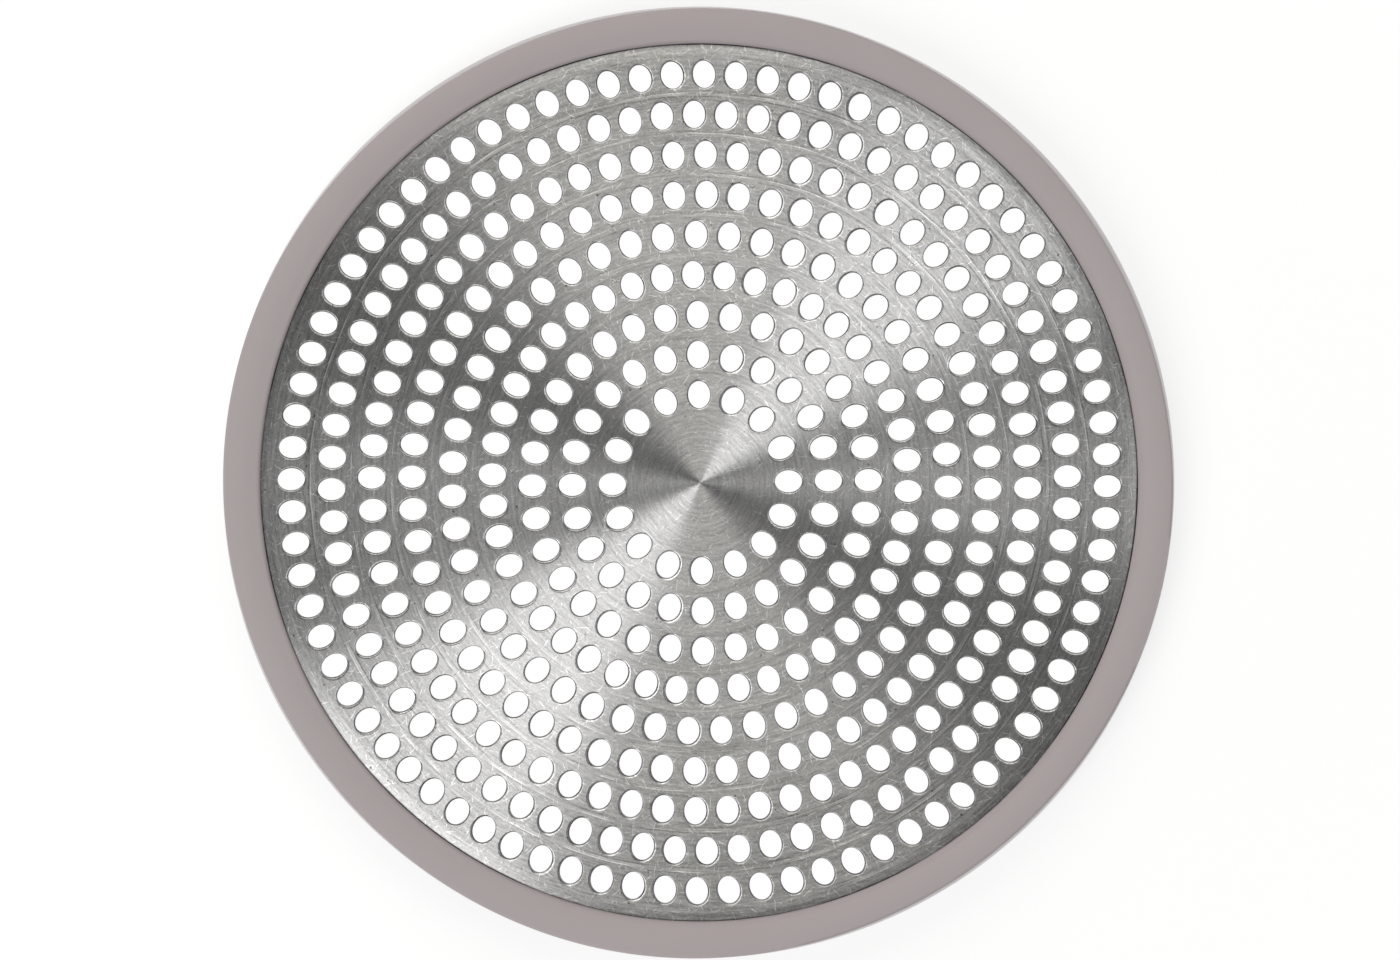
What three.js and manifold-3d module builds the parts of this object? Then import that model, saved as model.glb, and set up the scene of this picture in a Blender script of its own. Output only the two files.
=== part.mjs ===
// Shower drain strainer: a punched steel plate whose edge sits in the groove of a silicone rim.
// Millimetres, +Z up. The origin is on the floor, at the centre of the rim's foot.

import * as THREE from 'three';
import { mergeGeometries, mergeVertices } from 'three/addons/utils/BufferGeometryUtils.js';
import Module from 'manifold-3d';

const wasm = await Module();
wasm.setup();

// Hole pattern: rings of radial ovals round a blank centre
const CENTRE_BLANK = 11.4;         // radius of the blank centre, up to the innermost ovals
const HOLE_LENGTH = 4.2;           // oval, measured along the radius
const HOLE_WIDTH = 3.4;            // oval, measured round the ring
const RING_WEB = 1.93;             // metal between one ring of ovals and the next
const INNERMOST_HOLES = 16;        // ovals in the innermost ring
const HOLES_ADDED_PER_RING = 8;    // each ring has this many more than the ring inside it
const UNEVEN_RINGS = new Map([[3, 2], [4, -1]]);    // ring index, ovals more or fewer than that rule
const RING_STARTS = [0.9, 1, 0.9, -2.3, -0.9, -1.2, -0.9, 1, -0.5];    // first ovals, degrees from +X
const OUTER_RING_LEAN = 6.5;       // the outermost ovals lean this many degrees off the radius

// Plate
const PLATE_THICKNESS = 0.8;
const FIELD_BORDER = 0.65;         // flat metal outside the outermost ovals
const MARGIN_WIDTH = 1.7;          // part of the turned-down margin that shows inside the rim
const MARGIN_SLOPE = 11.5;         // degrees that the margin is turned down
const PLATE_GRIP = 2.2;            // depth of the plate's edge inside the rim's upper lip

// Rim
const RIM_HEIGHT = 8;
const RIM_BAND = 5.8;              // width of the rim that shows from above
const RIM_SHOULDER = 0.9;          // radius of the outer top edge
const FOOT_BEVEL = 0.6;            // bevel round the outside of the foot
const LIP_THICKNESS = 0.9;         // silicone over the plate, at the upper lip's inner edge
const LIP_ROUND = 0.45;            // radius of that edge, at most half of the lip
const LOWER_LIP_REACH = 0.8;       // the lower lip reaches this much further in than the upper one
const GROOVE_CLEARANCE = 0.25;     // between the plate and the groove, all round

// Facets
const TURN_SEGMENTS = 72;
const HOLE_SIDES = 6;
const SHOULDER_STEPS = 3;
const LIP_STEPS = 2;

const radians = THREE.MathUtils.degToRad;

// A faceted oval is drawn larger, so that it passes as much water as a smooth one of the stated size.
const ovalGrowth = Math.sqrt(2 * Math.PI / (HOLE_SIDES * Math.sin(2 * Math.PI / HOLE_SIDES)));
const ovalReach = ovalGrowth * HOLE_LENGTH / 2;

// Radii, from the centre outwards
const ringCount = RING_STARTS.length;
const ringPitch = HOLE_LENGTH + RING_WEB;
const innermostRing = CENTRE_BLANK + HOLE_LENGTH / 2;
const outermostRing = innermostRing + (ringCount - 1) * ringPitch;
const fieldRadius = outermostRing + ovalReach + FIELD_BORDER;
const lipRadius = fieldRadius + MARGIN_WIDTH;
const plateRadius = lipRadius + PLATE_GRIP;
const lowerLipRadius = lipRadius - LOWER_LIP_REACH;
const rimRadius = lipRadius + RIM_BAND;

// How far the turned-down margin lies below the flat field at a given radius.
function marginDrop(radius) {
  return Math.max(0, radius - fieldRadius) * Math.tan(radians(MARGIN_SLOPE));
}

// Heights above the floor
const fieldTop = RIM_HEIGHT - LIP_THICKNESS - GROOVE_CLEARANCE + marginDrop(lipRadius);
const fieldBottom = fieldTop - PLATE_THICKNESS;
const punchBottom = fieldBottom - PLATE_THICKNESS;
const punchTop = fieldTop + PLATE_THICKNESS;

// Turns a closed profile, given as radius and height, about the Z axis.
function revolve(profile) {
  return new THREE.LatheGeometry(profile, TURN_SEGMENTS).rotateX(Math.PI / 2);
}

// Points along a quarter circle in the radius and height plane, from one angle to another in degrees.
function cornerArc(radius, height, size, fromAngle, toAngle, steps) {
  const arc = new THREE.EllipseCurve(radius, height, size, size, radians(fromAngle), radians(toAngle));
  return arc.getPoints(steps);
}

function solidFromGeometry(geometry) {
  geometry.deleteAttribute('normal');
  geometry.deleteAttribute('uv');
  const merged = mergeVertices(geometry);
  const corners = merged.index.array;
  const triangles = [];
  for (let first = 0; first < corners.length; first += 3) {
    const [a, b, c] = corners.slice(first, first + 3);
    if (a !== b && b !== c && c !== a) {
      triangles.push(a, b, c);
    }
  }
  return new wasm.Manifold(new wasm.Mesh({
    numProp: 3,
    vertProperties: Float32Array.from(merged.attributes.position.array),
    triVerts: Uint32Array.from(triangles),
  }));
}

function geometryFromSolid(solid) {
  const mesh = solid.getMesh();
  const geometry = new THREE.BufferGeometry();
  geometry.setAttribute('position', new THREE.BufferAttribute(mesh.vertProperties, 3));
  geometry.setIndex(new THREE.BufferAttribute(mesh.triVerts, 1));
  geometry.computeVertexNormals();
  return geometry;
}

function holesInRing(ring) {
  return INNERMOST_HOLES + ring * HOLES_ADDED_PER_RING + (UNEVEN_RINGS.get(ring) ?? 0);
}

// One oval punch that passes right through the plate, with its long axis along the radius plus a lean.
function ovalPunch(ringRadius, angle, lean) {
  const oval = new THREE.EllipseCurve(
    ringRadius * Math.cos(angle), ringRadius * Math.sin(angle),
    ovalGrowth * HOLE_LENGTH / 2, ovalGrowth * HOLE_WIDTH / 2,
    0, 2 * Math.PI, false, angle + lean,
  );
  const outline = new THREE.Shape(oval.getPoints(HOLE_SIDES).slice(0, HOLE_SIDES));
  const punch = new THREE.ExtrudeGeometry(outline, { depth: punchTop - punchBottom, bevelEnabled: false });
  return punch.translate(0, 0, punchBottom);
}

function allPunches() {
  const punches = [];
  for (let ring = 0; ring < ringCount; ring += 1) {
    const ringRadius = innermostRing + ring * ringPitch;
    const lean = ring === ringCount - 1 ? radians(OUTER_RING_LEAN) : 0;
    const holes = holesInRing(ring);
    for (let hole = 0; hole < holes; hole += 1) {
      const angle = radians(RING_STARTS[ring] + 360 * hole / holes);
      punches.push(ovalPunch(ringRadius, angle, lean));
    }
  }
  return mergeGeometries(punches);
}

// The plate: a pressed blank with a flat field and a turned-down margin, then punched.
function plateGeometry() {
  const edgeDrop = marginDrop(plateRadius);
  const blank = revolve([
    new THREE.Vector2(0, fieldBottom),
    new THREE.Vector2(fieldRadius, fieldBottom),
    new THREE.Vector2(plateRadius, fieldBottom - edgeDrop),
    new THREE.Vector2(plateRadius, fieldTop - edgeDrop),
    new THREE.Vector2(fieldRadius, fieldTop),
    new THREE.Vector2(0, fieldTop),
  ]);
  const punched = solidFromGeometry(blank).subtract(solidFromGeometry(allPunches()));
  return geometryFromSolid(punched);
}

// The rim: one ring whose groove follows the turned-down edge of the plate.
function rimGeometry() {
  const grooveRadius = plateRadius + GROOVE_CLEARANCE;
  const grooveTop = (radius) => fieldTop - marginDrop(radius) + GROOVE_CLEARANCE;
  const grooveBottom = (radius) => fieldBottom - marginDrop(radius) - GROOVE_CLEARANCE;
  const shoulder = cornerArc(
    rimRadius - RIM_SHOULDER, RIM_HEIGHT - RIM_SHOULDER, RIM_SHOULDER, 0, 90, SHOULDER_STEPS,
  );
  const lipRound = Math.min(LIP_ROUND, LIP_THICKNESS / 2);
  const lipEdge = cornerArc(
    lipRadius + lipRound, RIM_HEIGHT - lipRound, lipRound, 90, 180, LIP_STEPS,
  );
  const foot = new THREE.Vector2(lowerLipRadius, 0);
  return revolve([
    foot,
    new THREE.Vector2(rimRadius - FOOT_BEVEL, 0),
    new THREE.Vector2(rimRadius, FOOT_BEVEL),
    ...shoulder,
    ...lipEdge,
    new THREE.Vector2(lipRadius, grooveTop(lipRadius)),
    new THREE.Vector2(grooveRadius, grooveTop(grooveRadius)),
    new THREE.Vector2(grooveRadius, grooveBottom(grooveRadius)),
    new THREE.Vector2(lowerLipRadius, grooveBottom(lowerLipRadius)),
    foot,
  ]);
}

function namedMesh(name, geometry, material) {
  const mesh = new THREE.Mesh(geometry, material);
  mesh.name = name;
  return mesh;
}

const brushedSteel = new THREE.MeshStandardMaterial({ color: 0xb4b4b2, roughness: 0.35, metalness: 1 });
const greySilicone = new THREE.MeshStandardMaterial({ color: 0xa69d9e, roughness: 0.75, metalness: 0 });

const strainer = new THREE.Group();
strainer.add(namedMesh('strainer_plate', plateGeometry(), brushedSteel));
strainer.add(namedMesh('silicone_rim', rimGeometry(), greySilicone));

export default strainer;
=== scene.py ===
"""Looks of a shower drain strainer: a brushed steel plate with rings of oval holes in a silicone rim.

Sizes are in metres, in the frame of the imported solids: +Z is up, the floor is at height 0 and the
centre of the plate lies on the Z axis. The finishes alone read places in millimetres.
"""

from __future__ import annotations

import logging
import math
import random
from collections.abc import Iterable, Iterator, Sequence
from dataclasses import dataclass
from enum import Enum

import bpy
from mathutils import Matrix, Vector
from mathutils.geometry import delaunay_2d_cdt

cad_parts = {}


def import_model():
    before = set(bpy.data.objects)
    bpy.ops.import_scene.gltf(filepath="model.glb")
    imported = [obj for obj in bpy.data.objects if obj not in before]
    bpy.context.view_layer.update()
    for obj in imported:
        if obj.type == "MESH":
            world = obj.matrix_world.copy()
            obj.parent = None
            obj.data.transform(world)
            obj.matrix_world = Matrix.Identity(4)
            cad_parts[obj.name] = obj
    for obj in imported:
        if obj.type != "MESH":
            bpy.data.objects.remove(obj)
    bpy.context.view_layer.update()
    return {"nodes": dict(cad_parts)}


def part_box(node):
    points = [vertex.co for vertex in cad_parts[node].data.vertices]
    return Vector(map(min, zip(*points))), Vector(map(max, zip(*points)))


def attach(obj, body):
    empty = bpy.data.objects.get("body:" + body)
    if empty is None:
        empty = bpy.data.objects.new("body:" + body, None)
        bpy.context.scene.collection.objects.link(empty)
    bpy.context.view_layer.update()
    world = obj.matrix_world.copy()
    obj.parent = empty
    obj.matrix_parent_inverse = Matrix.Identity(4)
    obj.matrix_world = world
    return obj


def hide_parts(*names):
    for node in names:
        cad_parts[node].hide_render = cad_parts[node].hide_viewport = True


LOG = logging.getLogger("strainer")

MM = 0.001
BODY = "root"
PHOTO_WIDTH = 1400
NOISE_MEAN = 0.5
CREASE = math.radians(50.0)
MERGE_GAP = 1e-7

Point = tuple[float, float, float]
Flat = tuple[float, float]
Band = tuple[float, float]
Row = list[int]
Colour = tuple[float, float, float, float]


class Solid(Enum):
    """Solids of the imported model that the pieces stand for."""

    PLATE = "strainer_plate"
    RIM = "silicone_rim"


class Slot(Enum):
    """Names of the material slots."""

    STEEL = "brushed_steel"
    SILICONE = "grey_silicone"


class Blend(Enum):
    """Ways of laying one colour over another."""

    MIX = "MIX"
    MULTIPLY = "MULTIPLY"


class Value:
    """A shader socket that takes part in Python arithmetic, each step adding a Math node."""

    def __init__(self, sheet: ShaderSheet, socket: bpy.types.NodeSocket) -> None:
        """Wraps one output socket of a node in a sheet."""
        self.sheet = sheet
        self.socket = socket

    def math(self, operation: str, *others: Value | float) -> Value:
        """Feeds this value, and any others after it, to a Math node."""
        return self.sheet.math(operation, self, *others)

    def __add__(self, other: Value | float) -> Value:
        """Adds another value or number."""
        return self.math("ADD", other)

    def __radd__(self, other: float) -> Value:
        """Adds this value to a number."""
        return self.math("ADD", other)

    def __sub__(self, other: Value | float) -> Value:
        """Takes another value or number away."""
        return self.math("SUBTRACT", other)

    def __rsub__(self, other: float) -> Value:
        """Takes this value away from a number."""
        return self.sheet.math("SUBTRACT", other, self)

    def __mul__(self, other: Value | float) -> Value:
        """Multiplies by another value or number."""
        return self.math("MULTIPLY", other)

    def __rmul__(self, other: float) -> Value:
        """Multiplies a number by this value."""
        return self.math("MULTIPLY", other)

    def __truediv__(self, other: Value | float) -> Value:
        """Divides by another value or number."""
        return self.math("DIVIDE", other)

    def __rtruediv__(self, other: float) -> Value:
        """Divides a number by this value."""
        return self.sheet.math("DIVIDE", other, self)

    def band(self, low: float, high: float) -> Value:
        """Rises smoothly as this value goes through a band.

        Args:
            low: where the band starts, and the result is still 0.
            high: where it ends, and the result has become 1.

        Returns:
            The result.
        """
        ramp = self.sheet.node(
            "ShaderNodeMapRange",
            {"interpolation_type": "SMOOTHSTEP"},
            {"Value": self, "From Min": low, "From Max": high},
        )
        return Value(self.sheet, ramp.outputs["Result"])

    def between(self, none: float, full: float) -> Value:
        """Goes evenly from one number to another as this value goes from 0 to 1."""
        return none + (full - none) * self


@dataclass(frozen=True)
class Spot:
    """Where the shaded point is: its vector in metres, and its X, Y, Z and radius in millimetres."""

    place: Value
    x: Value
    y: Value
    z: Value
    radius: Value


class ShaderSheet:
    """The node tree of one material or of the world, with one method that adds any node."""

    def __init__(self, owner: bpy.types.Material | bpy.types.World) -> None:
        """Turns nodes on and clears them.

        Args:
            owner: the material or the world that the nodes belong to.
        """
        owner.use_nodes = True
        self.tree = owner.node_tree
        self.tree.nodes.clear()

    def node(
        self,
        kind: str,
        settings: dict[str, object] | None = None,
        inputs: dict[str | int, object] | None = None,
    ) -> bpy.types.Node:
        """Adds a node, sets it up and then fills its sockets.

        Args:
            kind: the node's type name.
            settings: the node's own properties, such as an operation.
            inputs: for each socket, by name or number, a value, a wrapped socket or a plain socket.

        Returns:
            The new node.
        """
        made = self.tree.nodes.new(kind)
        for name, setting in (settings or {}).items():
            setattr(made, name, setting)
        for key, value in (inputs or {}).items():
            if isinstance(value, Value):
                self.tree.links.new(value.socket, made.inputs[key])
            elif isinstance(value, bpy.types.NodeSocket):
                self.tree.links.new(value, made.inputs[key])
            else:
                made.inputs[key].default_value = value
        return made

    def math(self, operation: str, *operands: Value | float) -> Value:
        """Adds a Math node, with values or numbers for its sockets in order."""
        made = self.node("ShaderNodeMath", {"operation": operation}, dict(enumerate(operands)))
        return Value(self, made.outputs[0])

    def vector(self, x: Value | float, y: Value | float, z: Value | float) -> Value:
        """Joins three values into a vector."""
        made = self.node("ShaderNodeCombineXYZ", inputs={"X": x, "Y": y, "Z": z})
        return Value(self, made.outputs["Vector"])

    def noise(self, place: Value, scale: float, detail: float, weight: float) -> Value:
        """Adds a noise texture.

        Args:
            place: the vector that the noise is read at.
            scale: features per unit of that vector.
            detail: how many finer layers are added.
            weight: the weight of each finer layer.

        Returns:
            The noise, from 0 to 1 round a mean of about a half.
        """
        made = self.node(
            "ShaderNodeTexNoise",
            inputs={"Vector": place, "Scale": scale, "Detail": detail, "Roughness": weight},
        )
        return Value(self, made.outputs[0])

    def tint(
        self, share: Value | float, under: Value | Colour, over: Value | Colour, blend: Blend
    ) -> Value:
        """Lays one colour over another, by the colour sockets of a Mix node.

        Args:
            share: how much of the upper colour shows, from 0 to 1.
            under: the lower colour.
            over: the upper colour.
            blend: the way in which it is laid.

        Returns:
            The mixed colour.
        """
        made = self.node(
            "ShaderNodeMix",
            {"data_type": "RGBA", "blend_type": blend.value},
            {0: share, 6: under, 7: over},
        )
        return Value(self, made.outputs[2])

    def shaded(self, colour: Colour, shade: Value) -> Value:
        """Multiplies a colour by a shade.

        Args:
            colour: the colour.
            shade: 1 to leave it, less to darken it and more to lighten it.

        Returns:
            The shaded colour.
        """
        neutral = self.node(
            "ShaderNodeCombineColor", inputs={"Red": shade, "Green": shade, "Blue": shade}
        )
        return self.tint(1.0, colour, Value(self, neutral.outputs[0]), Blend.MULTIPLY)

    def bump(self, height: Value, strength: float, depth: float) -> Value:
        """Turns a height into a bumped normal.

        Args:
            height: the relief, from 0 to 1.
            strength: how much of the bump is used.
            depth: the real depth of the relief.

        Returns:
            The normal.
        """
        made = self.node(
            "ShaderNodeBump",
            inputs={"Strength": strength, "Distance": depth, "Height": height},
        )
        return Value(self, made.outputs["Normal"])

    def spot(self) -> Spot:
        """Reads where the shaded point lies on its piece.

        Returns:
            The spot.
        """
        place = Value(self, self.node("ShaderNodeTexCoord").outputs["Object"])
        parts = self.node("ShaderNodeSeparateXYZ", inputs={"Vector": place})
        x, y, z = (Value(self, parts.outputs[axis]) / MM for axis in "XYZ")
        return Spot(place, x, y, z, (x * x + y * y).math("SQRT"))

    def seen_directly(self) -> Value:
        """Tells whether a ray comes from the camera, a mirror-like surface or a clear one.

        Returns:
            1 for such a ray, 0 for light that only falls on things.
        """
        path = self.node("ShaderNodeLightPath")
        camera, mirror, clear = (
            Value(self, path.outputs[name])
            for name in ("Is Camera Ray", "Is Glossy Ray", "Is Transmission Ray")
        )
        return camera.math("MAXIMUM", mirror).math("MAXIMUM", clear)

    def mixed(self, share: Value, first: bpy.types.Node, second: bpy.types.Node) -> bpy.types.Node:
        """Mixes two shaders, from all of the first at a share of 0 to all of the second at 1."""
        return self.node(
            "ShaderNodeMixShader", inputs={0: share, 1: first.outputs[0], 2: second.outputs[0]}
        )

    def surface(self, shader: bpy.types.Node) -> None:
        """Sends a shader to the material's output."""
        self.node("ShaderNodeOutputMaterial", inputs={"Surface": shader.outputs[0]})


@dataclass(frozen=True)
class Grain:
    """A noise that is alike in all directions: features in a metre, finer layers and their weight."""

    scale: float
    detail: float
    weight: float = 0.5

    def draw(self, sheet: ShaderSheet, spot: Spot) -> Value:
        """Draws the noise, from 0 to 1 round a mean of about a half."""
        return sheet.noise(spot.place, self.scale, self.detail, self.weight)


@dataclass(frozen=True)
class BrushLines:
    """A layer of lines that run in circles round the centre of the plate.

    It has the length of a line in millimetres, the number of lines in a millimetre of radius, and how far
    the layer changes the metal's shade, roughness and height.
    """

    length: float
    rows: float
    shade: float = 0.0
    roughness: float = 0.0
    height: float = 0.0
    detail: float = 2.0
    weight: float = 0.65

    def draw(self, sheet: ShaderSheet, spot: Spot) -> Value:
        """Draws the lines, from 0 to 1 round a mean of about a half."""
        stretched = sheet.vector(spot.x / self.length, spot.y / self.length, spot.radius * self.rows)
        return sheet.noise(stretched, 1.0, self.detail, self.weight)


@dataclass(frozen=True)
class TurningMarks:
    """Marks left by turning, in a group of lines on the metal between each two rings of holes.

    A line has its distance from the middle of that metal, in millimetres, and its strength, which is
    below 0 for a dark line. The marks grow stronger outwards and fade at the margin.
    """

    pattern: HolePattern
    lines: tuple[Flat, ...] = ((-0.45, -0.25), (-0.15, 0.3), (0.1, 0.7), (0.35, -0.25))
    line_sides: Band = (0.03, 0.13)
    wander: BrushLines = BrushLines(14.0, 0.3)
    wander_reach: float = 0.8
    breaks: BrushLines = BrushLines(6.0, 1.5)
    break_sides: Band = (0.40, 0.60)
    outward: Band = (22.0, 56.0)
    innermost_share: float = 0.2
    margin: Band = (64.6, 65.0)
    margin_share: float = 0.3

    def draw(self, sheet: ShaderSheet, spot: Spot) -> Value:
        """Draws the marks.

        Args:
            sheet: the sheet to draw on.
            spot: the shaded point.

        Returns:
            Their strength, above 0 on a light line and below 0 on a dark one.
        """
        pitch = self.pattern.ring_pitch / MM
        first_land = self.pattern.innermost_ring / MM + pitch / 2
        lands_out = (spot.radius - first_land) / pitch
        wander = self.wander_reach * (self.wander.draw(sheet, spot) - NOISE_MEAN)
        off_land = ((lands_out + 0.5).math("FRACT") - 0.5) * pitch + wander
        total: Value | float = 0.0
        for middle, strength in self.lines:
            off_line = (off_land - middle).math("ABSOLUTE")
            total = strength * (1 - off_line.band(*self.line_sides)) + total
        unbroken = self.breaks.draw(sheet, spot).band(*self.break_sides)
        outward = spot.radius.band(*self.outward).between(self.innermost_share, 1.0)
        faded = spot.radius.band(*self.margin).between(1.0, self.margin_share)
        return total * unbroken * outward * faded


@dataclass(frozen=True)
class Scratches:
    """Short hairline scratches that cross the brushing in all directions, and a few fine pits.

    A layer has the size of the cell that holds one scratch, in millimetres, and a shift that sets it apart
    from the other layers. The ends of a scratch and the pits are measured in cells.
    """

    layers: tuple[Flat, ...] = ((1.3, 3.1), (2.4, 0.0), (3.4, 7.3))
    bow: float = 0.06
    line_sides: Band = (0.02, 0.09)
    line_ends: Band = (0.1, 0.4)
    pit_sides: Band = (0.03, 0.07)
    pit_chance: Band = (0.90, 0.92)
    pit_depth: float = 0.9
    blank_end: Band = (12.0, 16.0)
    strengths: Flat = (0.5, 0.72)

    def draw(self, sheet: ShaderSheet, spot: Spot) -> Value:
        """Draws all layers, a little stronger outside the blank centre.

        Args:
            sheet: the sheet to draw on.
            spot: the shaded point.

        Returns:
            Their strength, above 0 on a scratch and below 0 in a pit.
        """
        total: Value | float = 0.0
        for cell, shift in self.layers:
            total = self.layer(sheet, spot, cell, shift) + total
        return total * spot.radius.band(*self.blank_end).between(*self.strengths)

    def layer(self, sheet: ShaderSheet, spot: Spot, cell: float, shift: float) -> Value:
        """Draws one layer, with a scratch of its own direction and strength in each cell.

        Args:
            sheet: the sheet to draw on.
            spot: the shaded point.
            cell: the size of a cell, in millimetres.
            shift: what sets the layer apart from the others.

        Returns:
            The strength, above 0 on a scratch and below 0 in a pit.
        """
        x = spot.x / cell + shift
        y = spot.y / cell + shift
        nearest = sheet.node(
            "ShaderNodeTexVoronoi",
            {"voronoi_dimensions": "2D"},
            {"Vector": sheet.vector(x, y, 0.0), "Scale": 1.0},
        )
        chance = sheet.node("ShaderNodeSeparateColor", inputs={"Color": nearest.outputs["Color"]})
        middle = sheet.node("ShaderNodeSeparateXYZ", inputs={"Vector": nearest.outputs["Position"]})
        off_x = (x - Value(sheet, middle.outputs["X"])) * cell
        off_y = (y - Value(sheet, middle.outputs["Y"])) * cell
        turn = Value(sheet, chance.outputs["Red"]) * math.tau
        along = off_x * turn.math("COSINE") + off_y * turn.math("SINE")
        across = off_y * turn.math("COSINE") - off_x * turn.math("SINE") + self.bow * along * along
        line = 1 - across.math("ABSOLUTE").band(*self.line_sides)
        ends = 1 - (along / cell).math("ABSOLUTE").band(*self.line_ends)
        strength = Value(sheet, chance.outputs["Green"])
        pit = 1 - Value(sheet, nearest.outputs["Distance"]).band(*self.pit_sides)
        pitted = Value(sheet, chance.outputs["Blue"]).band(*self.pit_chance)
        return line * ends * strength - self.pit_depth * pit * pitted


@dataclass(frozen=True)
class BrushedSteel:
    """Stainless steel brushed in circles, with bare torn metal on the sheared walls of its holes.

    Sizes are in millimetres. The face is the height of the plate's top, and depths are measured down from
    it. The field of holes ends a little inside the fold, and a thin, patchy line of painted shadow darkens
    the metal along the lip of the rim. Of two shades, the first is for none and the second for all of what
    they are named after.
    """

    face: float
    fold: float
    marks: TurningMarks
    scratches: Scratches = Scratches()
    colour: Colour = (0.51, 0.506, 0.50, 1.0)
    roughness: float = 0.40
    anisotropy: float = 1.0
    across_the_brushing: float = 0.25
    layers: tuple[BrushLines, ...] = (
        BrushLines(9.0, 2.4, shade=0.9, roughness=0.20, height=0.6),
        BrushLines(1.4, 3.4, shade=0.8, roughness=0.15, height=0.4),
    )
    relief_strength: float = 0.12
    relief_depth: float = 0.02 * MM
    grain: Grain = Grain(3200.0, 2.0, 0.6)
    grain_shade: float = 0.7
    # painted shade: the metal grows darker from the middle rings out to the outer ones; the loss is taken
    # off the texture everywhere and grows with the painted shade
    painted_outer_shade: Band = (40.0, 62.0)
    texture_loss_and_painted_outer_shade: Flat = (0.23, 0.40)
    field_end: Band = (-0.2, -0.15)
    # painted highlight: the outer part of each rolled hole edge is made lighter
    rolled_highlight_depths: Band = (0.012, 0.003)
    rolled_painted_highlight_shades: Flat = (1.0, 1.3)
    # painted shadow in the join under the rim's lip: the band of radius it darkens, its shades, and a noise
    # that makes it patchy
    painted_crevice_shadow: Band = (66.94, 67.08)
    painted_crevice_shadow_shades: Flat = (1.0, 0.2)
    painted_crevice_shadow_patches: BrushLines = BrushLines(26.0, 0.1)
    painted_crevice_shadow_patch_sides: Band = (0.40, 0.60)
    painted_crevice_shadow_least: float = 0.2
    sheared_depths: Band = (0.075, 0.055)
    bare_colour: Colour = (0.50, 0.496, 0.49, 1.0)
    bare_roughness: float = 0.48
    bare_spread: float = 0.2
    bare_grain_shades: Flat = (0.6, 1.4)
    clean: Grain = Grain(350.0, 1.0)
    clean_sides: Band = (0.42, 0.58)
    # dark levels of the sheared walls: partly the torn metal's own dull tone, partly painted shade that
    # draws dark outlines round the holes
    torn_and_painted_outline_shades: Flat = (0.16, 0.52)

    def material(self) -> bpy.types.Material:
        """Makes the finish.

        Returns:
            The material.
        """
        made = bpy.data.materials.new("brushed_steel")
        sheet = ShaderSheet(made)
        spot = sheet.spot()
        grain = self.grain.draw(sheet, spot)
        brushed = self.brushed(sheet, spot, grain)
        bare = self.bare(sheet, spot, grain)
        sheet.surface(sheet.mixed(self.below_face(spot, self.sheared_depths), brushed, bare))
        return made

    def brushed(self, sheet: ShaderSheet, spot: Spot, grain: Value) -> bpy.types.Node:
        """Makes the metal of the face, of the margin and of the rolled hole edges.

        Args:
            sheet: the sheet to draw on.
            spot: the shaded point.
            grain: the fine grain, from 0 to 1.

        Returns:
            The shader.
        """
        texture = self.grain_shade * grain + self.marks.draw(sheet, spot) + self.scratches.draw(sheet, spot)
        roughness: Value | float = self.roughness
        relief: Value | float = 0.0
        for layer in self.layers:
            lines = layer.draw(sheet, spot)
            texture = texture + layer.shade * lines
            roughness = roughness + layer.roughness * (lines - NOISE_MEAN)
            relief = relief + layer.height * lines
        # painted shade that darkens the outer rings, on top of a loss taken off everywhere
        painted_outer_shade = spot.radius.band(*self.painted_outer_shade).between(*self.texture_loss_and_painted_outer_shade)
        # painted highlight on the outer part of the rolled hole edges
        rolled = self.below_face(spot, self.rolled_highlight_depths).between(*self.rolled_painted_highlight_shades)
        # painted shadow along the rim's lip, stronger in some stretches than in others
        depth = self.painted_crevice_shadow_patches.draw(sheet, spot).band(*self.painted_crevice_shadow_patch_sides)
        painted_crevice_shadow = spot.radius.band(*self.painted_crevice_shadow) * depth.between(self.painted_crevice_shadow_least, 1.0)
        shade = (texture - painted_outer_shade) * painted_crevice_shadow.between(*self.painted_crevice_shadow_shades) * rolled
        return sheet.node(
            "ShaderNodeBsdfPrincipled",
            inputs={
                "Base Color": sheet.shaded(self.colour, shade),
                "Metallic": 1.0,
                "Roughness": roughness,
                "Anisotropic": self.anisotropy,
                "Anisotropic Rotation": self.across_the_brushing,
                "Normal": sheet.bump(relief, self.relief_strength, self.relief_depth),
            },
        )

    def bare(self, sheet: ShaderSheet, spot: Spot, grain: Value) -> bpy.types.Node:
        """Makes the torn metal of the sheared walls, cleaner in some places than in others and darkened
        partly as the torn metal's own tone and partly by painted shade that outlines the holes.

        Args:
            sheet: the sheet to draw on.
            spot: the shaded point.
            grain: the fine grain, from 0 to 1.

        Returns:
            The shader.
        """
        # the sheared walls are darkened partly as torn metal and partly by painted shade that outlines the
        # holes
        clean = self.clean.draw(sheet, spot).band(*self.clean_sides)
        shade = grain.between(*self.bare_grain_shades) * clean.between(*self.torn_and_painted_outline_shades)
        return sheet.node(
            "ShaderNodeBsdfPrincipled",
            inputs={
                "Base Color": sheet.shaded(self.bare_colour, shade),
                "Metallic": 1.0,
                "Roughness": self.bare_roughness + self.bare_spread * (grain - NOISE_MEAN),
            },
        )

    def below_face(self, spot: Spot, depths: Band) -> Value:
        """Finds the parts of the hole edges that lie below the face.

        Args:
            spot: the shaded point.
            depths: the depth from which it is full and the depth at which it starts.

        Returns:
            1 on those parts, 0 on the face and on the margin.
        """
        full, start = (self.face - depth for depth in depths)
        in_field = 1 - (spot.radius - self.fold).band(*self.field_end)
        return (1 - spot.z.band(full, start)) * in_field


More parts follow.
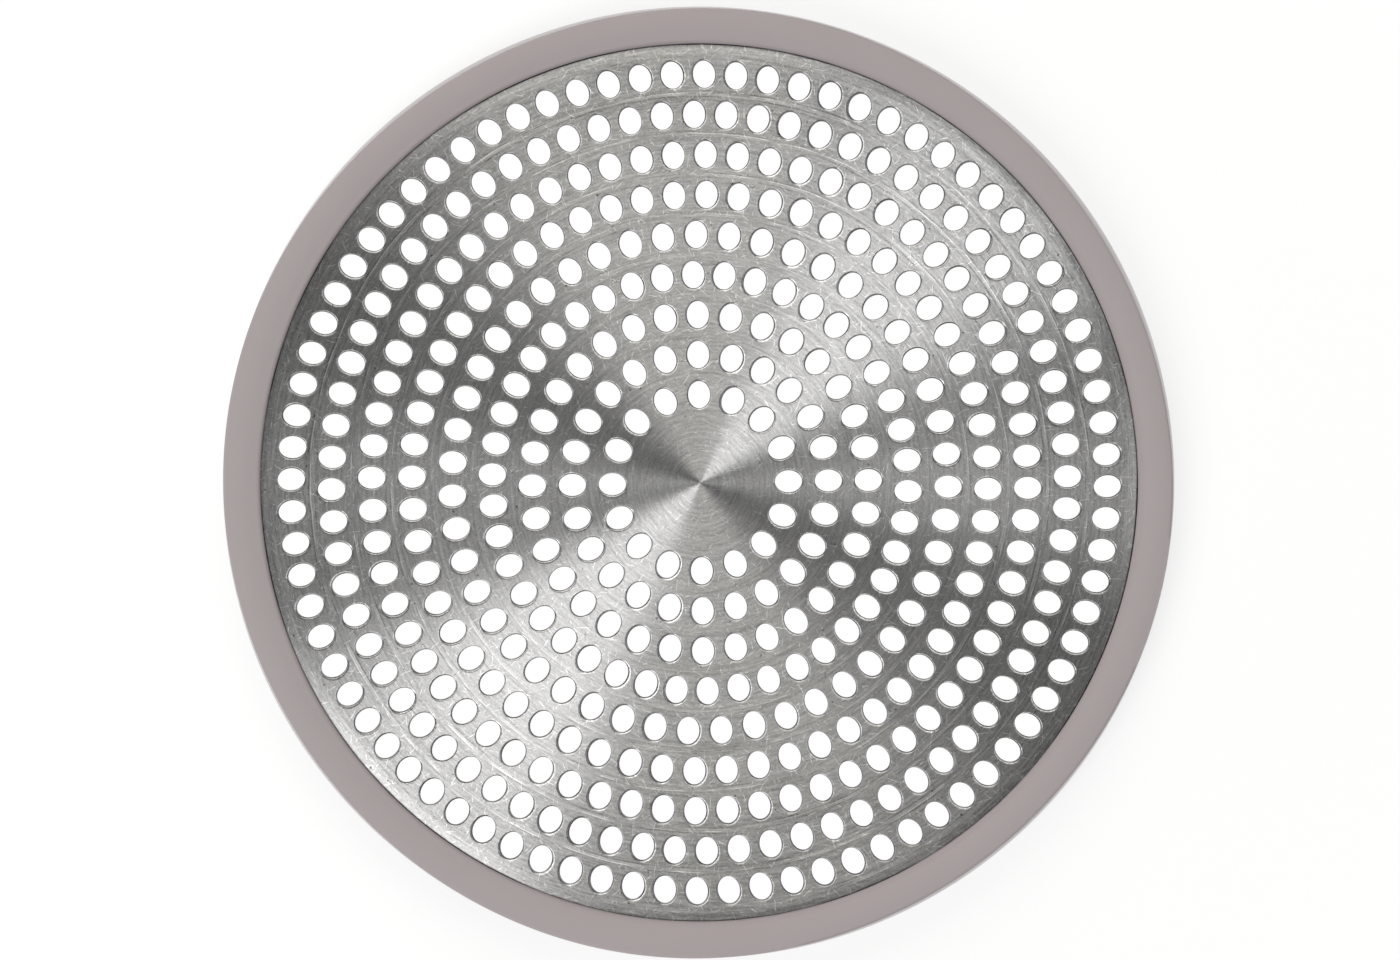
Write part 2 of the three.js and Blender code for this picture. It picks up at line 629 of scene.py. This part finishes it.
@dataclass(frozen=True)
class MattSilicone:
    """Warm grey moulded silicone with a fine matt grain and a low shine on its flank.

    Sizes are in millimetres. The edge and the flank are measured in from the rim's outside and down from
    its top, and the band of painted shade along the lip is measured out from the lip's own radius.
    """

    radius: float
    height: float
    lip_radius: float
    colour: Colour = (0.353, 0.311, 0.315, 1.0)
    pale: Colour = (0.395, 0.353, 0.357, 1.0)
    roughness: float = 0.62
    grain: Grain = Grain(9000.0, 2.0, 0.6)
    cloud: Grain = Grain(120.0, 3.0)
    pale_share: float = 0.25
    pale_by_cloud: float = 0.35
    pale_by_grain: float = 0.25
    pale_by_edge: float = 0.4
    # below 0: painted shade darkens the rim along its lip, where it meets the plate
    pale_by_painted_lip_shade: float = -0.6
    rough_by_grain: float = 0.10
    rough_by_edge: float = -0.06
    relief_strength: float = 0.10
    relief_depth: float = 0.03 * MM
    edge: Band = (0.0, 0.8)
    lip: Band = (0.0, 1.2)
    flank_inside: Band = (1.5, 2.0)
    flank_top: Band = (0.1, 0.2)
    flank_bottom: Band = (1.8, 3.0)
    shine_roughness: float = 0.35
    shine_ior: float = 2.4
    sheen: float = 0.2
    sheen_roughness: float = 0.4
    specular: float = 0.4

    def material(self) -> bpy.types.Material:
        """Makes the finish.

        Returns:
            The material.
        """
        made = bpy.data.materials.new("grey_silicone")
        sheet = ShaderSheet(made)
        spot = sheet.spot()
        grain = self.grain.draw(sheet, spot)
        cloud = self.cloud.draw(sheet, spot)
        inward = self.radius - spot.radius
        down = self.height - spot.z
        edge = 1 - inward.band(*self.edge)
        # painted shade along the rim's lip
        lip = 1 - (spot.radius - self.lip_radius).band(*self.lip)
        side = (1 - inward.band(*self.flank_inside)) * (1 - down.band(*self.flank_bottom))
        flank = side * down.band(*self.flank_top)
        pale = self.pale_share + self.pale_by_cloud * cloud + self.pale_by_grain * grain
        pale = pale + self.pale_by_edge * edge + self.pale_by_painted_lip_shade * lip
        rough = self.roughness + self.rough_by_grain * (grain - NOISE_MEAN) + self.rough_by_edge * edge
        shader = sheet.node(
            "ShaderNodeBsdfPrincipled",
            inputs={
                "Base Color": sheet.tint(pale, self.colour, self.pale, Blend.MIX),
                "Roughness": rough,
                "Coat Weight": flank,
                "Coat Roughness": self.shine_roughness,
                "Coat IOR": self.shine_ior,
                "Sheen Weight": self.sheen,
                "Sheen Roughness": self.sheen_roughness,
                "Specular IOR Level": self.specular,
                "Normal": sheet.bump(grain, self.relief_strength, self.relief_depth),
            },
        )
        sheet.surface(shader)
        return made


@dataclass(frozen=True)
class PaleFloor:
    """Plain white floor that shows as white and still takes the object's shadow."""

    colour: Colour = (0.9, 0.9, 0.9, 1.0)
    glow: float = 1.05
    glow_share: float = 0.95
    shadow_share: float = 0.22
    strainer_edge: Band = (66.0, 70.0)
    shadow_end: Band = (85.0, 260.0)

    def material(self) -> bpy.types.Material:
        """Makes the finish.

        Returns:
            The material.
        """
        made = bpy.data.materials.new("pale_floor")
        sheet = ShaderSheet(made)
        radius = sheet.spot().radius
        near = radius.band(*self.strainer_edge) * (1 - radius.band(*self.shadow_end))
        share = sheet.seen_directly() * (self.glow_share - self.shadow_share * near)
        paint = sheet.node("ShaderNodeBsdfDiffuse", inputs={"Color": self.colour})
        white = sheet.node("ShaderNodeEmission", inputs={"Strength": self.glow})
        sheet.surface(sheet.mixed(share, paint, white))
        return made


class MeshDraft:
    """Collects corners and faces, then makes one piece of them."""

    def __init__(self) -> None:
        """Starts with nothing."""
        self.corners: list[Point] = []
        self.faces: list[tuple[int, ...]] = []

    def row(self, points: Iterable[Point]) -> Row:
        """Adds a closed row of corners.

        Args:
            points: where they lie, counter-clockwise seen from above.

        Returns:
            The corners' numbers.
        """
        first = len(self.corners)
        self.corners.extend(points)
        return list(range(first, len(self.corners)))

    def bridge(self, first: Row, second: Row) -> None:
        """Joins two closed rows of equal length by four-sided faces.

        Args:
            first: the row that the surface starts from.
            second: the row that it ends on.
        """
        count = len(first)
        for here in range(count):
            after = (here + 1) % count
            self.faces.append((first[here], first[after], second[after], second[here]))

    def bridge_all(self, rows: Sequence[Row]) -> None:
        """Joins each row to the next one."""
        for first, second in zip(rows, rows[1:]):
            self.bridge(first, second)

    def revolve(self, sections: Sequence[Sequence[Flat]]) -> list[Row]:
        """Sets sections round the Z axis at equal turns and joins them.

        Args:
            sections: for each turn, radius and height of each point.

        Returns:
            The rows that run round the axis, joined to one another.
        """
        turns = [math.tau * step / len(sections) for step in range(len(sections))]
        rows = [
            self.row(
                (radius * math.cos(turn), radius * math.sin(turn), height)
                for turn, (radius, height) in zip(turns, ring)
            )
            for ring in zip(*sections)
        ]
        self.bridge_all(rows)
        return rows

    def cover(self, outline: Row, holes: Sequence[Row]) -> list[tuple[int, int, int]]:
        """Splits the flat sheet inside an outline and round its holes into triangles.

        Args:
            outline: the outer row.
            holes: the rows round the holes.

        Returns:
            The triangles, counter-clockwise seen from above.
        """
        owner: list[int] = []
        numbers: Row = []
        edges: list[tuple[int, int]] = []
        for which, row in enumerate((outline, *holes)):
            start = len(numbers)
            count = len(row)
            numbers.extend(row)
            owner.extend([which] * count)
            edges.extend((start + here, start + (here + 1) % count) for here in range(count))
        spots = [Vector(self.corners[number][:2]) / MM for number in numbers]
        _, _, faces, origins, _, _ = delaunay_2d_cdt(spots, edges, [], 0, MERGE_GAP)
        triangles: list[tuple[int, int, int]] = []
        for face in faces:
            a, b, c = (origins[corner][0] for corner in face)
            inside_a_hole = owner[a] == owner[b] == owner[c] != 0
            if not inside_a_hole:
                triangles.append((numbers[a], numbers[b], numbers[c]))
        return triangles

    def piece(self, name: str) -> bpy.types.Object:
        """Makes the mesh object, smooth but for the edges that turn by more than the crease.

        Args:
            name: the piece's name.

        Returns:
            The new object, linked to the scene.
        """
        mesh = bpy.data.meshes.new(name)
        mesh.from_pydata(self.corners, [], self.faces)
        mesh.shade_smooth()
        mesh.set_sharp_from_angle(angle=CREASE)
        mesh.update()
        made = bpy.data.objects.new(name, mesh)
        bpy.context.scene.collection.objects.link(made)
        return made


def arc(centre: Flat, size: Flat, start: float, sweep: float, steps: int) -> list[Flat]:
    """Places points along part of an ellipse in the radius and height plane.

    Args:
        centre: the ellipse's centre.
        size: its half axes along the radius and the height.
        start: the first angle, in degrees from the outward direction.
        sweep: how many degrees the part covers, counter-clockwise.
        steps: how many steps it has.

    Returns:
        The points, both ends included.
    """
    turns = [math.radians(start + sweep * step / steps) for step in range(steps + 1)]
    return [
        (centre[0] + size[0] * math.cos(turn), centre[1] + size[1] * math.sin(turn))
        for turn in turns
    ]


@dataclass(frozen=True)
class EdgeStep:
    """One step of a hole's edge: how far it lies outside the hole, how high, and its share of the stray."""

    grow: float
    height: float
    follow: float


@dataclass(frozen=True)
class Oval:
    """One oval hole: its centre in polar form, its half axes and the lean of its long axis."""

    ring_radius: float
    angle: float
    half_length: float
    half_width: float
    lean: float

    def outline(self, edge: EdgeStep, stray: Flat, steps: int) -> list[Point]:
        """Places points round the hole for one step of its edge.

        Args:
            edge: the step.
            stray: how far the rolled edge lies off the hole's true centre, along X and Y.
            steps: how many points.

        Returns:
            The points, counter-clockwise seen from above.
        """
        middle_x = self.ring_radius * math.cos(self.angle) + edge.follow * stray[0]
        middle_y = self.ring_radius * math.sin(self.angle) + edge.follow * stray[1]
        cos_axis = math.cos(self.angle + self.lean)
        sin_axis = math.sin(self.angle + self.lean)
        points: list[Point] = []
        for step in range(steps):
            turn = math.tau * step / steps
            out_u = math.cos(turn) / self.half_length
            out_v = math.sin(turn) / self.half_width
            reach = math.hypot(out_u, out_v)
            u = self.half_length * math.cos(turn) + edge.grow * out_u / reach
            v = self.half_width * math.sin(turn) + edge.grow * out_v / reach
            x = middle_x + u * cos_axis - v * sin_axis
            y = middle_y + u * sin_axis + v * cos_axis
            points.append((x, y, edge.height))
        return points


@dataclass(frozen=True)
class HolePattern:
    """Nine rings of radial ovals round a blank centre, the outermost ones leaning off the radius."""

    innermost_ring: float = 13.5 * MM
    ring_pitch: float = 6.13 * MM
    hole_length: float = 4.2 * MM
    hole_width: float = 3.4 * MM
    counts: tuple[int, ...] = (16, 24, 32, 42, 47, 56, 64, 72, 80)
    starts: tuple[float, ...] = (0.9, 1.0, 0.9, -2.3, -0.9, -1.2, -0.9, 1.0, -0.5)
    outermost_lean: float = 6.5

    def ovals(self) -> Iterator[Oval]:
        """Goes through all the holes.

        Yields:
            Each hole, ring by ring.
        """
        outermost = len(self.counts) - 1
        for ring, (count, start) in enumerate(zip(self.counts, self.starts)):
            lean = self.outermost_lean if ring == outermost else 0.0
            for hole in range(count):
                yield Oval(
                    self.innermost_ring + ring * self.ring_pitch,
                    math.radians(start + 360.0 * hole / count),
                    self.hole_length / 2,
                    self.hole_width / 2,
                    math.radians(lean),
                )


@dataclass
class StrainerPlate:
    """The punched steel plate, with rolled-over hole edges and a turned-down margin.

    The walls of the holes are true to the pattern, and the rolled edges stray a little off them, each by
    its own distance in its own direction.
    """

    edge_radius: float
    top: float
    edge_bottom: float
    thickness: float = 0.8 * MM
    fold_radius: float = 65.35 * MM
    fold_end: float = 66.7 * MM
    roll_width: float = 0.22 * MM
    roll_depth: float = 0.10 * MM
    roll_turn: float = 60.0
    stray_size: Band = (0.08 * MM, 0.19 * MM)
    stray_direction: Band = (185.0, 315.0)
    stray_seed: int = 7
    shear_width: float = 0.09 * MM
    shear_taper: float = 0.105 * MM
    land_guard: float = 0.05 * MM
    burr_width: float = 0.06 * MM
    burr_height: float = 0.11 * MM
    hole_steps: int = 24
    roll_steps: int = 4
    turn_steps: int = 288
    fold_steps: int = 5
    pattern: HolePattern = HolePattern()

    @classmethod
    def from_frame(cls) -> StrainerPlate:
        """Takes the plate's outer sizes from its solid."""
        low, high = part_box(Solid.PLATE.value)
        return cls(edge_radius=high.x, top=high.z, edge_bottom=low.z)

    def hole_profile(self) -> list[EdgeStep]:
        """Works out the section of a hole's edge.

        Returns:
            The steps from the top face round to the underside.
        """
        bottom = self.top - self.thickness
        roll_start = self.roll_width + self.shear_width
        steepest = math.radians(self.roll_turn)
        roll_axes = (
            self.roll_width / math.sin(steepest),
            self.roll_depth / (1.0 - math.cos(steepest)),
        )
        roll_centre = (roll_start, self.top - roll_axes[1])
        roll = arc(roll_centre, roll_axes, 90.0, self.roll_turn, self.roll_steps)
        waist = self.shear_width - self.shear_taper
        wall = [(waist, bottom + self.burr_height), (waist + self.burr_width, bottom)]
        steps = [EdgeStep(roll_start + self.land_guard, self.top, 1.0)]
        for grow, height in roll:
            steps.append(EdgeStep(grow, height, (grow - self.shear_width) / self.roll_width))
        for grow, height in wall:
            steps.append(EdgeStep(grow, height, 0.0))
        return steps

    def margin_profile(self) -> list[Flat]:
        """Works out the section of the margin outside the holes.

        Returns:
            Radius and height, from the underside's fold round the edge to the top's fold.
        """
        bottom = self.top - self.thickness
        edge_drop = bottom - self.edge_bottom
        slope = edge_drop / (self.edge_radius - (self.fold_radius + self.fold_end) / 2)
        drops: list[Flat] = [(self.fold_radius - self.land_guard, 0.0)]
        for step in range(self.fold_steps + 1):
            share = step / self.fold_steps
            radius = self.fold_radius + share * (self.fold_end - self.fold_radius)
            drops.append((radius, slope * share * (radius - self.fold_radius) / 2))
        drops.append((self.edge_radius, edge_drop))
        under = [(radius, bottom - drop) for radius, drop in drops]
        over = [(radius, self.top - drop) for radius, drop in reversed(drops)]
        return [*under, *over]

    def build(self) -> bpy.types.Object:
        """Makes the plate's mesh.

        Returns:
            The piece.
        """
        draft = MeshDraft()
        profile = self.hole_profile()
        chance = random.Random(self.stray_seed)
        top_rows: list[Row] = []
        bottom_rows: list[Row] = []
        for oval in self.pattern.ovals():
            turn = math.radians(chance.uniform(*self.stray_direction))
            size = chance.uniform(*self.stray_size)
            stray = (size * math.cos(turn), size * math.sin(turn))
            rows = [draft.row(oval.outline(step, stray, self.hole_steps)) for step in profile]
            draft.bridge_all(rows)
            top_rows.append(rows[0])
            bottom_rows.append(rows[-1])
        margin = draft.revolve([self.margin_profile()] * self.turn_steps)
        draft.faces.extend(draft.cover(margin[-1], top_rows))
        under = draft.cover(margin[0], bottom_rows)
        draft.faces.extend(triangle[::-1] for triangle in under)
        return draft.piece("strainer_plate_brushed")

    def dress(self, piece: bpy.types.Object) -> None:
        """Gives the plate its finish, hides its solid and ties the piece to the body.

        Args:
            piece: the plate's mesh object.
        """
        finish = BrushedSteel(self.top / MM, self.fold_radius / MM, TurningMarks(self.pattern))
        piece.data.materials.append(finish.material())
        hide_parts(Solid.PLATE.value)
        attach(piece, BODY)


@dataclass(frozen=True)
class Wave:
    """A wave round the rim: its number of lobes, its size, and where a lobe peaks in degrees from +X."""

    lobes: int
    size: float
    peak: float

    def at(self, turn: float) -> float:
        """Gives the wave's height at a turn in radians from +X."""
        return self.size * math.cos(self.lobes * (turn - math.radians(self.peak)))


@dataclass
class SiliconeRim:
    """The soft ring that grips the plate's edge and stands on the floor.

    Its flank, the upper part of its side, leans in by an amount that waves a little round the ring.
    """

    plate: StrainerPlate
    radius: float
    height: float
    lip_radius: float = 67.2 * MM
    lower_lip_radius: float = 66.4 * MM
    flank_height: float = 2.2 * MM
    flank_lean: float = 0.57 * MM
    flank_waves: tuple[Wave, ...] = (Wave(1, 0.22 * MM, 40.0), Wave(4, 0.25 * MM, 33.0))
    flank_powers: Flat = (1.45, 1.9)
    flank_fall: float = 0.06 * MM
    lip_fall: float = 0.42 * MM
    crest: float = 0.30
    lip_round: float = 0.80 * MM
    lip_depth: float = 0.50 * MM
    foot_round: float = 0.5 * MM
    foot_inner_round: float = 0.3 * MM
    clearance: float = 0.12 * MM
    turn_steps: int = 288
    arc_steps: int = 8
    flank_steps: int = 12
    crown_steps: int = 10

    @classmethod
    def from_frame(cls, plate: StrainerPlate) -> SiliconeRim:
        """Takes the rim's outer sizes from its solid."""
        _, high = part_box(Solid.RIM.value)
        return cls(plate=plate, radius=high.x, height=high.z)

    def fall(self, share: float) -> float:
        """Tells how far the top lies below its crest.

        Args:
            share: how far across the top, from 0 at the flank to 1 at the lip.

        Returns:
            The distance.
        """
        if share < self.crest:
            return self.flank_fall * (1.0 - share / self.crest) ** 2
        return self.lip_fall * ((share - self.crest) / (1.0 - self.crest)) ** 2

    def flank_line(self, lean: float) -> list[Flat]:
        """Works out the side's upper part, which leans in towards the top.

        Args:
            lean: how far it leans in.

        Returns:
            Radius and height, from the side up to the top, both ends included.
        """
        bottom = self.height - self.flank_fall - self.flank_height
        line: list[Flat] = []
        for step in range(self.flank_steps + 1):
            turn = math.pi / 2 * step / self.flank_steps
            out = math.cos(turn) ** self.flank_powers[0]
            up = math.sin(turn) ** self.flank_powers[1]
            line.append((self.radius - lean * (1.0 - out), bottom + self.flank_height * up))
        return line

    def crown_line(self, lean: float) -> list[Flat]:
        """Works out the gently crowned top, from the flank in to the lip.

        Args:
            lean: how far the flank leans in.

        Returns:
            Radius and height, without the two end points.
        """
        outer = self.radius - lean
        inner = self.lip_radius + self.lip_round
        line: list[Flat] = []
        for step in range(1, self.crown_steps):
            share = step / self.crown_steps
            line.append((outer + share * (inner - outer), self.height - self.fall(share)))
        return line

    def groove_line(self) -> list[Flat]:
        """Follows the plate's margin at a small clearance.

        Returns:
            Radius and height, from the upper lip round the plate's edge to the lower lip.
        """
        margin = self.plate.margin_profile()
        half = len(margin) // 2
        under = [spot for spot in margin[:half] if spot[0] > self.lower_lip_radius]
        over = [spot for spot in margin[half:] if spot[0] > self.lip_radius]
        upper = [(radius + self.clearance, height + self.clearance) for radius, height in over[::-1]]
        lower = [(radius + self.clearance, height - self.clearance) for radius, height in under[::-1]]
        return [*upper, *lower]

    def quarter(self, centre: Flat, size: Flat, start: float) -> list[Flat]:
        """Rounds a corner by a quarter of an ellipse that starts at an angle in degrees."""
        return arc(centre, size, start, 90.0, self.arc_steps)

    def profile(self, turn: float) -> list[Flat]:
        """Works out the rim's whole section.

        Args:
            turn: where the section is taken, in radians round the Z axis from +X.

        Returns:
            Radius and height, counter-clockwise from the inside of the foot.
        """
        lean = self.flank_lean + sum(wave.at(turn) for wave in self.flank_waves)
        inner = self.foot_inner_round
        outer = self.foot_round
        foot_in = self.quarter((self.lower_lip_radius + inner, inner), (inner, inner), 180.0)
        foot_out = self.quarter((self.radius - outer, outer), (outer, outer), 270.0)
        lip_centre = (self.lip_radius + self.lip_round, self.height - self.lip_fall - self.lip_depth)
        lip = self.quarter(lip_centre, (self.lip_round, self.lip_depth), 90.0)
        top = [*self.flank_line(lean), *self.crown_line(lean)]
        return [*foot_in, *foot_out, *top, *lip, *self.groove_line()]

    def build(self) -> bpy.types.Object:
        """Makes the rim's mesh.

        Returns:
            The piece.
        """
        draft = MeshDraft()
        turns = [math.tau * step / self.turn_steps for step in range(self.turn_steps)]
        rows = draft.revolve([self.profile(turn) for turn in turns])
        draft.bridge(rows[-1], rows[0])
        return draft.piece("silicone_rim_moulded")

    def dress(self, piece: bpy.types.Object) -> None:
        """Gives the rim its finish, hides its solid and ties the piece to the body.

        Args:
            piece: the rim's mesh object.
        """
        finish = MattSilicone(self.radius / MM, self.height / MM, self.lip_radius / MM)
        piece.data.materials.append(finish.material())
        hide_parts(Solid.RIM.value)
        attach(piece, BODY)


def direction(azimuth: float, elevation: float) -> Vector:
    """Points from the strainer to a place in the studio.

    Args:
        azimuth: the angle round the Z axis, in degrees from +X.
        elevation: the angle above the floor, in degrees.

    Returns:
        The unit vector.
    """
    turn = math.radians(azimuth)
    rise = math.radians(elevation)
    return Vector((math.cos(rise) * math.cos(turn), math.cos(rise) * math.sin(turn), math.sin(rise)))


@dataclass(frozen=True)
class Softbox:
    """A flat studio light that faces the strainer."""

    name: str
    azimuth: float
    elevation: float
    width: float
    height: float
    brightness: float
    distance: float = 1.2
    colour: Point = (1.0, 1.0, 1.0)

    def place(self) -> None:
        """Hangs the light, with its power worked out from how bright its face looks."""
        lamp = bpy.data.lights.new(self.name, "AREA")
        lamp.shape = "RECTANGLE"
        lamp.size = self.width
        lamp.size_y = self.height
        lamp.energy = self.brightness * math.pi * self.width * self.height
        lamp.color = self.colour
        hung = bpy.data.objects.new(self.name, lamp)
        outward = direction(self.azimuth, self.elevation)
        hung.location = self.distance * outward
        hung.rotation_mode = "QUATERNION"
        hung.rotation_quaternion = outward.to_track_quat("Z", "Y")
        bpy.context.scene.collection.objects.link(hung)


@dataclass
class Studio:
    """The floor, the soft light and the camera that looks down on the strainer.

    The rim's pixels are the radius of its outline in the photograph, and the outline depth is how far
    below the top the rim is widest as the camera sees it.
    """

    floor_size: float = 60.0
    room_grey: float = 0.165
    softboxes: tuple[Softbox, ...] = (
        Softbox("key_softbox", azimuth=229.5, elevation=50.0, width=0.54, height=0.80, brightness=6.3),
        Softbox(
            "top_softbox",
            azimuth=97.0,
            elevation=40.0,
            width=0.92,
            height=1.00,
            brightness=2.86,
            colour=(1.0, 0.985, 0.93),
        ),
        Softbox("fill_softbox", azimuth=133.0, elevation=45.0, width=0.30, height=0.80, brightness=0.6),
        Softbox("side_softbox", azimuth=-1.0, elevation=50.0, width=0.26, height=0.80, brightness=1.95),
        Softbox(
            "ceiling_softbox",
            azimuth=0.0,
            elevation=90.0,
            width=1.0,
            height=1.0,
            brightness=0.285,
            distance=1.4,
        ),
    )
    camera_distance: float = 0.6
    camera_tilt: float = 1.67
    camera_azimuth: float = 168.0
    camera_aim: Flat = (-0.09 * MM, 0.42 * MM)
    camera_nearest: float = 0.01
    rim_pixels: float = 476.9
    outline_depth: float = 0.9 * MM
    sensor: float = 36.0
    floor: PaleFloor = PaleFloor()

    def lay_floor(self) -> None:
        """Makes the floor."""
        half = self.floor_size / 2
        corners = [(-half, -half, 0.0), (half, -half, 0.0), (half, half, 0.0), (-half, half, 0.0)]
        mesh = bpy.data.meshes.new("floor")
        mesh.from_pydata(corners, [], [(0, 1, 2, 3)])
        mesh.materials.append(self.floor.material())
        laid = bpy.data.objects.new("floor", mesh)
        bpy.context.scene.collection.objects.link(laid)

    def light(self) -> None:
        """Hangs the softboxes and sets the room's own light."""
        for softbox in self.softboxes:
            softbox.place()
        world = bpy.data.worlds.new("studio_room")
        bpy.context.scene.world = world
        sheet = ShaderSheet(world)
        glow = sheet.node("ShaderNodeBackground", inputs={"Strength": self.room_grey})
        sheet.node("ShaderNodeOutputWorld", inputs={"Surface": glow.outputs[0]})

    def aim_camera(self, rim: SiliconeRim) -> None:
        """Puts the camera almost straight above, so that the rim fills the frame as in the photograph.

        Args:
            rim: the rim whose outline sets the scale.
        """
        lens = bpy.data.cameras.new("camera")
        lens.sensor_width = self.sensor
        widest = rim.height - self.outline_depth
        gap = self.camera_distance - widest
        pixel = rim.radius / self.rim_pixels
        lens.lens = self.sensor * gap / (PHOTO_WIDTH * pixel)
        lens.clip_start = self.camera_nearest
        camera = bpy.data.objects.new("camera", lens)
        back = direction(self.camera_azimuth, 90.0 - self.camera_tilt)
        camera.location = Vector((*self.camera_aim, widest)) + gap * back
        camera.rotation_mode = "QUATERNION"
        right = Vector((0.0, 1.0, 0.0)).cross(back).normalized()
        turned = Matrix((right, back.cross(right), back)).transposed()
        camera.rotation_quaternion = turned.to_quaternion()
        bpy.context.scene.collection.objects.link(camera)
        bpy.context.scene.camera = camera


def main() -> None:
    """Builds the strainer and its studio, in order."""
    logging.basicConfig(level=logging.INFO, format="%(name)s: %(message)s")
    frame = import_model()
    LOG.info("frame holds %s", ", ".join(sorted(frame["nodes"])))
    bpy.context.scene.view_settings.view_transform = "Standard"
    plate = StrainerPlate.from_frame()
    rim = SiliconeRim.from_frame(plate)
    for part in (plate, rim):
        piece = part.build()
        part.dress(piece)
        LOG.info("built %s with %d faces", piece.name, len(piece.data.polygons))
    studio = Studio()
    studio.lay_floor()
    studio.light()
    studio.aim_camera(rim)
    LOG.info("set up the studio with %d softboxes", len(studio.softboxes))


if __name__ == "__main__":
    main()
